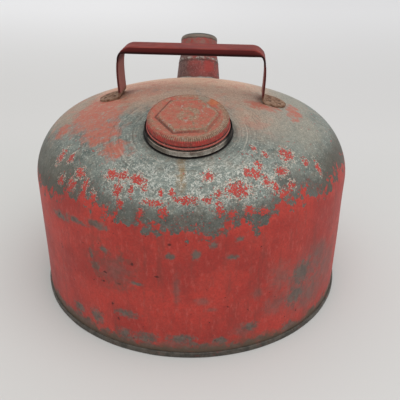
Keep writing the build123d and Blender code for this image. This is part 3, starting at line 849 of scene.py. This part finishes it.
def shell_finish():
    f = Finish("worn_shell")
    azimuth = f.math("MULTIPLY", f.math("ARCTAN2", f.x, f.math("MULTIPLY", f.y, -1.0)), 180 / math.pi)
    zinc, enamel = zinc_colour(f), enamel_colour(f)

    edge = f.curve(azimuth, ENAMEL_EDGE, (-180, 180), (100, 140))
    above = f.math("SUBTRACT", f.z, edge)
    tear = f.plus(f.centred(58, 7.5, 4, 0.62, seed=9), f.centred(16, 2.4, 3, rough=0.55, seed=32))
    torn = f.plus(above, tear)
    below_edge = f.step(torn, 1.4, -1.4)

    # bare metal: a light, speckled zone over the front of the shoulder, dark shoulders to each side
    light_zone = f.all_of(f.within(azimuth, -36, -18, 26, 46), f.within(f.z, 127, 139, 150, 166))
    pale = f.all_of(light_zone, f.blots(0.36, 0.60, 9, seed=33))
    zinc = f.over(zinc, pale, 0.38, (138, 148, 142))
    crackle = f.math("ABSOLUTE", f.math("SUBTRACT", f.noise(3.2, 4, 0.72, seed=10), 0.5))
    cream = f.all_of(light_zone, f.step(crackle, 0.034, 0.012), f.blots(0.44, 0.52, 6, seed=37))
    zinc = f.over(zinc, cream, 0.7, (212, 210, 200))
    veins = f.all_of(light_zone, f.within(crackle, 0.07, 0.09, 0.10, 0.12))
    zinc = f.over(zinc, veins, 0.4, (70, 80, 76))
    band = f.step(f.plus(above, f.centred(22, 9, seed=11)), 21, 10)
    zinc = f.over(zinc, band, 0.6, (74, 71, 66))
    stain = f.all_of(f.step(torn, 14, 1), f.blots(0.48, 0.60, 2.8, 4, 0.8, seed=43))
    zinc = f.over(zinc, stain, 0.7, (132, 58, 50))
    left_dark = f.all_of(f.within(azimuth, -92, -70, -42, -32), f.step(f.z, 154, 140))
    right_dark = f.all_of(f.within(azimuth, 44, 56, 80, 100), f.step(f.z, 154, 142))
    zinc = f.over(zinc, f.any_of(left_dark, right_dark), 0.6, (80, 74, 64))

    # flakes of enamel with pale broken rims
    field = patch_field(f, FLAKES)
    chips = f.plus(f.centred(1.7, 2.9, seed=5), f.centred(1.1, 1.3, 2, rough=0.55, seed=34))
    chipped = f.plus(field, chips)
    near = f.step(field, 0.04, 0.2)
    flakes = f.all_of(f.step(chipped, 0.55, 0.61), near)
    rim_grain = f.blots(0.44, 0.54, 1.3, 3, seed=12)
    rims = f.all_of(f.step(chipped, 0.30, 0.42), near, rim_grain, f.step(f.z, 124, 138))
    freckle = f.all_of(f.blots(0.62, 0.65, 3.0, 4, 0.75, seed=13), f.blots(0.46, 0.56, 20, 2, 0.5, seed=14))
    freckle = f.all_of(freckle, f.within(f.z, 108, 120, 160, 172))
    broken = f.blots(0.40, 0.47, 1.3, 3, 0.75, seed=15)
    flakes = f.all_of(f.any_of(flakes, freckle), broken)
    zinc = f.over(zinc, rims, 0.65, (208, 200, 184))
    halo = f.all_of(f.step(chipped, 0.12, 0.30), near, f.blots(0.50, 0.42, 1.6, 3, seed=35))
    zinc = f.over(zinc, halo, 0.5, (70, 66, 60))

    # the top: faded pink enamel on the left, a tan film of dirt over the crown and the back, with painted light
    # making it lighter towards the back
    pink = f.any_of(
        f.spot(on_dome(-77, -32), 25, 8, 11, 9, squeeze=(1.2, 0.7, 1)), f.spot(on_dome(-68, -70), 15, 6, 9, 7),
        f.spot(on_dome(-53, -94), 10, 5, 8, 6), f.spot(on_dome(60, -25), 11, 5, 8, 6, squeeze=(0.8, 1.5, 1)),
        f.spot(on_dome(88, -20), 12, 5, 10, 6, squeeze=(2.0, 0.8, 1)), f.spot(on_dome(-106, -46), 8, 4, 6, 6),
    )
    pink_wear = f.blots(0.36, 0.48, 4.0, 5, 0.85, seed=16)
    pink_colour = f.mottle((172, 80, 63), (166, 106, 87), 0.38, 0.62, 3.0, 5, 0.8, seed=17)
    stray = f.centred(60, 16, 5, 0.75, seed=41)
    beside_filler = f.all_of(f.step(f.x, 18, 46), f.step(f.y, -92, -46))
    film = f.any_of(f.step(f.plus(f.y, stray), -60, -28), beside_filler)
    low_edge = f.plus(f.z, f.math("MULTIPLY", stray, 0.5))
    film = f.all_of(film, f.step(low_edge, 144, 154), f.step(f.plus(f.x, stray), 116, 98))
    film_wear = f.blots(0.22, 0.46, 12, 5, seed=18)
    # painted light: the film's tone is lighter towards the back
    film_colour = f.mix(f.step(f.y, -40, 30), (166, 140, 121), (208, 166, 139))
    salmon = f.all_of(f.spot(on_dome(-52, 12), 34, 12, 10, 14), f.blots(0.36, 0.56, 7, 5, 0.8, seed=42))
    film_colour = f.over(film_colour, salmon, 0.8, (196, 126, 100))
    film_colour = f.mix(f.step(f.x, 40, 88), film_colour, (142, 140, 128))
    film_colour = f.mix(f.step(f.plus(f.x, stray), -76, -98, 0.8), film_colour, (138, 124, 108))
    bare = f.mix(f.all_of(film, film_wear, 0.85), zinc, film_colour)
    film_grain = f.noise(1.3, 4, 0.8, seed=36)
    bare = f.mix(f.all_of(film, f.step(film_grain, 0.48, 0.36, 0.6)), bare, (96, 80, 68))
    bare = f.mix(f.all_of(film, f.step(film_grain, 0.54, 0.64, 0.5)), bare, (208, 188, 168))
    blush = f.all_of(film, f.blots(0.50, 0.62, 15, 5, 0.75, seed=19), f.step(f.x, 84, 50))
    bare = f.over(bare, blush, 0.45, (178, 112, 94))
    bare = f.mix(f.all_of(pink, pink_wear, 0.86), bare, pink_colour)

    # painted shade at the strap's feet, where they meet the dome
    strap_foot_shade = f.any_of(f.spot(on_dome(-59, 2), 7, 4, 3, 6), f.spot(on_dome(60, -8), 4, 3, 3, 6))
    bare = f.over(bare, strap_foot_shade, 0.5, (84, 66, 54))

    # rust run under the filler, and painted shade round its foot and in the gap under the collar's edge
    weave = f.plus(f.x, f.math("MULTIPLY_ADD", f.noise(7, 3, rough=0.55), 6.0, -1.0))
    run = f.all_of(
        f.step(f.math("ABSOLUTE", weave), 5.0, 1.0),
        f.step(f.z, 138, 148), f.step(f.y, -92, -100), f.blots(0.3, 0.6, 5, seed=20),
    )
    bare = f.over(bare, run, 0.75, (134, 104, 62))
    out, _ = turned_about(f, FILLER)
    outwards = f.add("ShaderNodeCombineXYZ", out, f.math("MULTIPLY", f.x, 0.12), 0.0).outputs[0]
    rings = f.noise(1.5, at=outwards)
    turned = f.all_of(f.step(out, 78, 52), f.blots(0.36, 0.52, 14, seed=38))
    bare = f.mix(f.all_of(turned, f.step(rings, 0.47, 0.37, 0.5)), bare, (76, 68, 62))
    bare = f.mix(f.all_of(turned, f.step(rings, 0.55, 0.64, 0.34)), bare, (188, 178, 164))
    # painted shade: a darker ring round the collar's foot, and near black in the gap under its edge
    collar_foot_shade = f.step(out, 40.0, 34.5)
    undercut_shade = f.step(out, 35.2, 34.2)

    # the wall: scuffs, streaks, dents' stains, pits, and a dirty foot
    bared = patches(f, BARE, 2.0, 4.0, 0.3)
    scuffs = f.any_of(bared, f.all_of(patches(f, SCUFFED, 1.6, 6, 0.4), 0.5))
    speck = f.all_of(f.blots(0.695, 0.72, 4.2, 4, 0.8, seed=21), f.blots(0.5, 0.6, 30, 2, 0.5, seed=22))
    foot_wear = f.step(f.plus(f.z, f.centred(44, 10, 5, seed=23)), 14, 8)
    worn_off = f.any_of(f.all_of(scuffs, 0.88), speck, f.all_of(foot_wear, 0.8))
    wall_zinc = f.mottle((80, 82, 76), (106, 102, 94), 0.35, 0.65, 5, seed=24)
    wall = f.mix(worn_off, enamel, wall_zinc)
    faded = f.all_of(f.spot(on_can(46, 50), 27, 14, 5, 9), f.blots(0.30, 0.60, 5, 5, 0.8, seed=40))
    wall = f.over(wall, faded, 0.62, (98, 90, 84))
    drips = f.noise(8, 4, 0.65, seed=25, stretch=(1, 1, 7))
    wall = f.over(wall, f.step(drips, 0.52, 0.72), 0.35, (96, 58, 50))
    pits = f.blots(0.285, 0.25, 3.6, 2, 0.5, seed=26)
    pits = f.any_of(pits, patches(f, PITS, 2.0, 1.6, 0.2))
    wall = f.over(wall, pits, 0.8, (58, 20, 18))
    rub = f.spot(on_can(-24, 78), 24, 6, 5, 9)
    rubbed = f.all_of(rub, f.blots(0.46, 0.62, 6, seed=27))
    wall = f.over(wall, rubbed, 0.6, (112, 66, 56))
    foot_dirt = f.step(f.plus(f.z, f.centred(24, 14, 4, 0.6, seed=28)), 16, 3)
    wall = f.over(wall, foot_dirt, 0.85, (88, 76, 62))

    painted = f.any_of(below_edge, f.all_of(flakes, f.step(f.z, 104, 110)))
    upper_flake = f.mix(0.35, enamel, (186, 62, 54))
    skin = f.mix(f.step(above, -10, 0), wall, f.mix(flakes, wall, upper_flake))
    colour = f.mix(painted, bare, skin)
    # painted shade round the collar's foot and in the gap under its edge
    colour = f.over(colour, collar_foot_shade, 0.45, (78, 76, 70))
    colour = f.mix(undercut_shade, colour, (24, 22, 20))

    coated = f.all_of(painted, f.math("SUBTRACT", 1.0, worn_off))
    rough = f.level(f.noise(9, rough=0.55, seed=29), 0.42, 0.66)
    rough = f.level(coated, f.plus(rough, 0.06), rough)
    height = f.plus(coated, f.math("MULTIPLY", f.noise(3.2, 4, 0.65, seed=30), 0.8))
    height = f.math("SUBTRACT", height, f.all_of(pits, 0.8))
    metal = f.all_of(f.math("SUBTRACT", 1.0, coated), 0.25)
    return f.finish(colour, rough, metal, height, 0.16, specular=0.28)


def seam_finish():
    f = Finish("worn_seam")
    zinc = f.mottle((56, 53, 47), (86, 80, 72), 0.35, 0.65, 6)
    red = f.all_of(f.blots(0.58, 0.66, 16, seed=2), f.step(f.z, 1.0, 2.0))
    colour = f.over(zinc, red, 0.5, (112, 48, 42))
    rust = f.blots(0.56, 0.68, 4, 4, 0.75, seed=3)
    colour = f.over(colour, rust, 0.6, (74, 48, 32))
    return f.finish(colour, f.level(rust, 0.5, 0.85), 0.2, f.noise(1.8), 0.15)


def cap_finish():
    """Orange-red cap paint, chalked on top, worn to a tan film on its ridges and rim."""
    f = Finish("cap_paint")
    out, height = turned_about(f, FILLER)
    side, ahead = (FILLER.to_3x3() @ Vector(v) for v in ((1, 0, 0), (0, 1, 0)))
    origin = FILLER.translation / MM
    offset = f.vector("SUBTRACT", f.at, tuple(origin))
    flats = [tuple(side * math.cos(a) + ahead * math.sin(a)) for a in HEXAGON_FLATS]
    across = f.any_of(*[f.math("ABSOLUTE", f.vector("DOT_PRODUCT", offset, flat)) for flat in flats])
    colour = f.mottle((156, 76, 62), (146, 96, 78), 0.38, 0.62, 5, 5, 0.75, seed=1)
    tan = f.mottle((112, 90, 70), (144, 128, 108), 0.38, 0.62, 1.8, 4, 0.8, seed=2)
    sideways, forward = (f.vector("DOT_PRODUCT", offset, tuple(v)) for v in (side, ahead))
    ring = f.all_of(f.step(out, 24.5, 27.5), f.step(height, 10.4, 11.3))
    ring = f.any_of(ring, f.all_of(f.step(out, 10.5, 8.5), f.blots(0.35, 0.5, 4, 3, rough=0.55, seed=9)))
    hexagon = f.within(across, HEXAGON - 3.4, HEXAGON - 2.0, HEXAGON - 1.2, HEXAGON - 0.3)
    lean = f.math("MULTIPLY_ADD", f.step(sideways, -24, 8), -0.16, 0.10)
    wear = f.math("SUBTRACT", f.noise(5.5, 5, 0.75, seed=3), lean)
    worn = f.all_of(f.any_of(ring, hexagon), f.step(wear, 0.34, 0.54))
    blotch = f.step(wear, 0.60, 0.68)
    colour = f.mix(f.all_of(f.any_of(worn, blotch), 0.85), colour, tan)
    grey = f.blots(0.60, 0.68, 7, seed=5)
    colour = f.over(colour, grey, 0.7, (148, 142, 134))
    # painted shade in the gutter at the hexagon's foot, heavier on the left, away from the light
    hexagon_foot_shade = f.within(across, HEXAGON - 1.0, HEXAGON - 0.1, HEXAGON + 0.4, HEXAGON + 1.6)
    left = f.step(sideways, 22, -14)
    colour = f.mix(f.all_of(hexagon_foot_shade, f.math("MULTIPLY_ADD", left, 0.55, 0.3)), colour, (84, 46, 38))
    amber = f.spot(tuple(origin + side * 20 + ahead * 17 + Vector((0, 0, 12.3))), 5.5, 2, 2, 5)
    colour = f.over(colour, amber, 0.8, (166, 88, 50))
    grey_at = tuple(origin + side * 11 + ahead * 20 + Vector((0, 0, 12.6)))
    colour = f.over(colour, f.spot(grey_at, 4.5, 1.5, 3, 5), 0.8, (126, 118, 104))
    flutes = f.math("COSINE", f.math("MULTIPLY", f.math("ARCTAN2", forward, sideways), CAP_FLUTES))
    band = f.all_of(f.within(height, 9.3, 9.9, 11.7, 12.3), f.step(out, 27.6, 28.8))
    skirt = f.step(height, 11.0, 10.2)
    skirt_colour = f.mottle((172, 58, 52), (130, 66, 58), 0.4, 0.66, 7, seed=6)
    colour = f.mix(skirt, colour, skirt_colour)
    # painted highlight along the cap's rolled bead
    bead_highlight = f.step(height, 6.0, 5.4)
    colour = f.over(colour, bead_highlight, 0.55, (172, 98, 88))
    # painted shade in the groove by the bead
    groove_shade = f.within(height, 5.2, 5.5, 6.3, 6.7)
    colour = f.over(colour, groove_shade, 0.9, (48, 20, 19))
    valley = f.all_of(band, f.step(flutes, 0.1, 0.8), f.blots(0.3, 0.55, 6, 3, rough=0.55, seed=10))
    colour = f.over(colour, valley, 0.75, (62, 38, 32))
    colour = f.mix(f.blots(0.46, 0.34, 1.3, 4, 0.75, seed=7, out=0.6), colour, (92, 62, 50))
    colour = f.mix(f.blots(0.56, 0.66, 1.2, 4, 0.75, seed=11, out=0.4), colour, (196, 160, 138))
    bump = f.plus(f.noise(2.5, seed=8), f.math("MULTIPLY", blotch, -0.8))
    return f.finish(colour, 0.72, 0.0, bump, 0.14, specular=0.3)


def collar_finish():
    f = Finish("old_zinc")
    zinc = f.mottle((126, 118, 108), (176, 170, 160), 0.35, 0.65, 5)
    _, height = turned_about(f, FILLER)
    # painted shade low on the left, and near black at the sides, in the gap under the cap
    shade = f.all_of(f.step(f.x, -6, -20), f.step(height, -2.0, -0.5))
    zinc = f.over(zinc, shade, 0.6, (74, 62, 52))
    across = f.math("ABSOLUTE", f.math("SUBTRACT", f.x, FILLER.translation.x / MM))
    zinc = f.mix(f.all_of(f.step(across, 25.5, 30.5), f.step(height, 4.2, 3.4)), zinc, (34, 29, 26))
    # painted highlight along the rim's edge at the front and back
    lip_highlight = f.all_of(f.step(height, 2.6, 3.1), f.step(across, 30, 26))
    colour = f.over(zinc, lip_highlight, 0.6, (178, 160, 146))
    dirt = f.blots(0.54, 0.66, 7, seed=3)
    colour = f.over(colour, dirt, 0.6, (98, 76, 66))
    return f.finish(colour, 0.55, 0.35, f.noise(2.5, 3, rough=0.55), 0.1)


def spout_finish():
    f = Finish("spout_paint")
    _, height = turned_about(f, SPOUT)
    red = f.mottle((114, 46, 42), (134, 58, 52), 0.38, 0.62, 11, seed=1)
    dull = f.mottle((60, 50, 46), (94, 82, 76), 0.35, 0.65, 5, seed=2)
    left = f.step(f.plus(f.x, f.centred(24, 12, 3, rough=0.55, seed=3)), 0, -12)
    worn = f.any_of(f.all_of(left, 0.85), f.blots(0.54, 0.64, 9, 5, 0.75, seed=4))
    seam = f.within(height, 15.8, 17.2, 20.0, 24.0)
    worn = f.any_of(worn, f.all_of(seam, f.blots(0.4, 0.54, 8, seed=5)))
    colour = f.mix(f.all_of(worn, 0.85), red, dull)
    bright = f.all_of(f.within(height, 18.6, 19.4, 20.6, 21.4), f.blots(0.44, 0.56, 7, seed=6))
    colour = f.over(colour, bright, 0.8, (158, 152, 144))
    grain = f.noise(1.4, 4, 0.75, seed=7)
    colour = f.mix(f.step(grain, 0.48, 0.36, 0.45), colour, (62, 38, 36))
    colour = f.mix(f.step(grain, 0.55, 0.65, 0.35), colour, (168, 134, 126))
    fresh_at = tuple(SPOUT.translation / MM + SPOUT.to_3x3() @ Vector((12, -18, 11.5)))
    fresh = f.spot(fresh_at, 6, 1.5, 2, 5)
    colour = f.over(colour, fresh, 0.7, (148, 48, 42))
    foot = f.step(height, 3.5, -1.5)
    colour = f.over(colour, foot, 0.6, (84, 56, 44))
    bare = f.step(height, 27.0, 29.0)
    colour = f.mix(bare, colour, f.mix(0.5, dull, (140, 140, 134)))
    return f.finish(colour, 0.6, 0.0, f.noise(3), 0.15, specular=0.35)


def spout_cap_finish():
    f = Finish("spout_cap_metal")
    _, height = turned_about(f, SPOUT)
    zinc = f.mottle((42, 45, 42), (74, 74, 69), 0.35, 0.65, 3, 4, 0.75, seed=1)
    red = f.mottle((138, 56, 48), (122, 82, 72), 0.4, 0.62, 6, seed=2)
    edge = f.plus(height, f.centred(3, 6, seed=3))
    skirt = f.step(edge, 41.6, 40.4)
    colour = f.mix(skirt, zinc, red)
    tan = f.within(edge, 41.0, 42.2, 43.5, 45.0)
    colour = f.over(colour, tan, 0.5, (142, 120, 104))
    chip = f.blots(0.60, 0.66, 5, 5, 0.75, seed=4)
    colour = f.over(colour, chip, 0.7, (106, 98, 92))
    return f.finish(colour, 0.55, 0.2, f.noise(2.5), 0.12)


def strap_finish():
    f = Finish("strap_paint")
    colour = f.mottle((92, 30, 28), (122, 44, 37), 0.36, 0.64, 18, 4, 0.65, seed=1)
    dust = f.blots(0.46, 0.66, 6, 5, 0.75, seed=2, stretch=(4, 1, 1))
    top = f.step(f.z, 214.4, 217.6)
    colour = f.over(colour, dust, 0.25, (134, 82, 70))
    colour = f.over(colour, top, 0.5, (112, 34, 29))
    # painted light: the legs, and their edges below, are painted lighter than the grip
    lit_legs = f.step(f.z, 209, 203)
    colour = f.over(colour, lit_legs, 0.7, (170, 112, 104))
    turn = (-math.sin(STRAP_TURN), math.cos(STRAP_TURN), 0)
    along = f.vector("DOT_PRODUCT", f.vector("SUBTRACT", f.at, (0, STRAP_Y, 0)), turn)
    across = f.math("ABSOLUTE", along)
    # dark edges: dirty dark paint, and near black on the grip's down-facing flange as painted shade
    edge = f.step(across, STRAP_WIDTH / 2 - 1.1, STRAP_WIDTH / 2 - 0.5)
    lower = f.mix(f.step(f.z, 215.4, 214.2), (72, 23, 22), (26, 8, 8))
    colour = f.mix(f.all_of(edge, 0.93), colour, f.mix(lit_legs, lower, (74, 26, 25)))
    rear = f.all_of(top, f.step(along, 8.5, 12.0))
    colour = f.over(colour, rear, 0.6, (72, 34, 30))
    streak = f.all_of(top, f.blots(0.50, 0.64, 5, seed=6, stretch=(5, 1, 1)), f.step(edge, 0.6, 0.1))
    colour = f.over(colour, streak, 0.35, (156, 76, 62))
    foot = f.step(f.plus(f.z, f.centred(6, 6, 3, rough=0.55, seed=3)), 181, 177)
    rust = f.mottle((98, 70, 52), (146, 122, 102), 0.36, 0.64, 3.5, 5, 0.75, seed=4)
    colour = f.mix(f.all_of(foot, 0.95), colour, rust)
    chips = f.blots(0.67, 0.70, 3.0, 4, 0.75, seed=5)
    colour = f.over(colour, chips, 0.5, (48, 34, 30))
    rough = f.level(foot, f.level(dust, 0.55, 0.7), 0.85)
    return f.finish(colour, rough, 0.0, f.noise(4, 4, 0.65), 0.12, specular=0.1)


def simple_finish(name, low, high, rough, metal=0.0, size=4.0, depth=0.1):
    """Two tones of one material, mottled."""
    f = Finish(name)
    colour = f.mottle(low, high, 0.35, 0.65, size)
    return f.finish(colour, rough, metal, f.noise(size / 2, 3, rough=0.55), depth)


def floor_finish():
    """A pale sweep, a little warmer and darker near the object; its tones are painted light, much lighter far off
    where they stand in for a lit backdrop.
    """
    f = Finish("pale_sweep")
    colour = f.mix(f.step(f.y, 180, 420), (203, 203, 200), (208, 207, 205))
    # painted light: much lighter far off, standing in for a lit backdrop
    colour = f.mix(f.step(f.y, 400, 1900), colour, (244, 244, 245))
    right = f.step(f.x, -500, 500)
    colour = f.over(colour, right, 0.3, (202, 201, 202))
    return f.finish(colour, 0.9, 0.0, specular=0.1)


# --- putting it together ---


def piece(obj, body, slot_name, material, *nodes):
    obj.data.materials.clear()
    obj.data.materials.append(material)
    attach(obj, body)
    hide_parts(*nodes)


def repaint(node, material):
    """Gives a CAD node that is shown as it is its finish."""
    obj = frame["nodes"][node]
    obj.data.materials.clear()
    obj.data.materials.append(material)


old_zinc = collar_finish()
spout_paint = spout_finish()
solder = simple_finish("solder", (112, 110, 104), (150, 148, 142), 0.45, 0.5)
rusty = simple_finish("weld_rust", (66, 50, 40), (104, 84, 68), 0.85, 0.1, size=1.5, depth=0.2)
brass = simple_finish("old_brass", (132, 108, 62), (164, 138, 84), 0.4, 0.85)
rubber = simple_finish("cork_rubber", (44, 40, 36), (66, 58, 50), 0.85, size=2.0)
steel = simple_finish("zinc_plate", (118, 116, 110), (152, 150, 144), 0.4, 0.8)
sealant = simple_finish("seam_compound", (40, 36, 32), (58, 52, 46), 0.8)

piece(make_shell(), "can", "painted_shell", shell_finish(), "body_shell")
piece(make_seam(), "can", "painted_pan", seam_finish(), "bottom_pan")
piece(make_collar(), "can", "galvanised", old_zinc, "filler_collar")
piece(make_filler_neck(), "can", "galvanised", old_zinc, "filler_neck")
piece(make_fill_cap(), "fill_cap", "cap_paint", cap_finish(), "fill_cap_shell")
piece(make_spout_base(), "can", "spout_paint", spout_paint, "spout_base")
piece(solder_bead("spout_foot_solder", SPOUT, spout_wall, 1.5, 5), "can", "solder", solder, "spout_base_solder")
piece(make_spout_neck(), "can", "spout_paint", spout_paint, "spout_neck")
piece(make_spout_cap(), "spout_cap", "spout_cap_metal", spout_cap_finish(), "spout_cap_shell")
piece(make_strap(), "can", "strap_paint", strap_finish(), "handle_strap")
piece(make_welds(), "can", "weld", rusty, "handle_weld_nuggets")

for nodes, material in (
    (("filler_neck_solder", "spout_neck_solder"), solder),
    (("spout_strainer", "spout_strainer_ring"), brass),
    (("fill_cap_gasket", "spout_cap_gasket"), rubber),
    (("fill_cap_disc", "fill_cap_stud", "spout_cap_disc", "spout_cap_stud"), steel),
    (("bottom_seam_sealant",), sealant),
):
    for node in nodes:
        repaint(node, material)

# --- the studio ---

floor = plug(2.6 / MM, -4.0, 0.0, UPRIGHT, steps=128)
floor.name = floor.data.name = "studio_floor"
floor.data.materials.append(floor_finish())

light_data = bpy.data.lights.new("softbox", "AREA")
light_data.shape = "DISK"
light_data.size = 1.6
light_data.energy = 8.5
light = bpy.data.objects.new("softbox", light_data)
light.location = (0.3, -0.5, 1.3)
light.rotation_euler = (Vector((0, 0, 0.1)) - light.location).to_track_quat("-Z", "Y").to_euler()
bpy.context.scene.collection.objects.link(light)

world = bpy.data.worlds.new("studio")
world.use_nodes = True
world.node_tree.nodes["Background"].inputs["Color"].default_value = (1, 1, 1, 1)
world.node_tree.nodes["Background"].inputs["Strength"].default_value = 0.86
bpy.context.scene.world = world


def look(azimuth, elevation, distance, target, pan, roll, lens):
    """A camera aimed at target from azimuth and elevation, then panned to the right and rolled, in degrees."""
    a, e, p, t = (math.radians(v) for v in (azimuth, elevation, pan, roll))
    back = Vector((math.sin(a) * math.cos(e), -math.cos(a) * math.cos(e), math.sin(e)))
    right = Vector((math.cos(a), math.sin(a), 0))
    ahead = -back * math.cos(p) + right * math.sin(p)
    side = ahead.cross(Vector((0, 0, 1))).normalized()
    above = side.cross(ahead)
    right, up = side * math.cos(t) + above * math.sin(t), above * math.cos(t) - side * math.sin(t)
    data = bpy.data.cameras.new("camera")
    data.lens, data.sensor_width, data.clip_start = lens, 36, 0.01
    camera = bpy.data.objects.new("camera", data)
    turned = Matrix((right, up, -ahead)).transposed().to_4x4()
    camera.matrix_world = Matrix.Translation(Vector(target) + back * distance) @ turned
    bpy.context.scene.collection.objects.link(camera)
    return camera


bpy.context.scene.camera = look(
    azimuth=2.7, elevation=27.15, distance=0.5328, target=(0, 0, 0.070), pan=0.837, roll=0.51, lens=49.2
)
bpy.context.scene.view_settings.view_transform = "Standard"
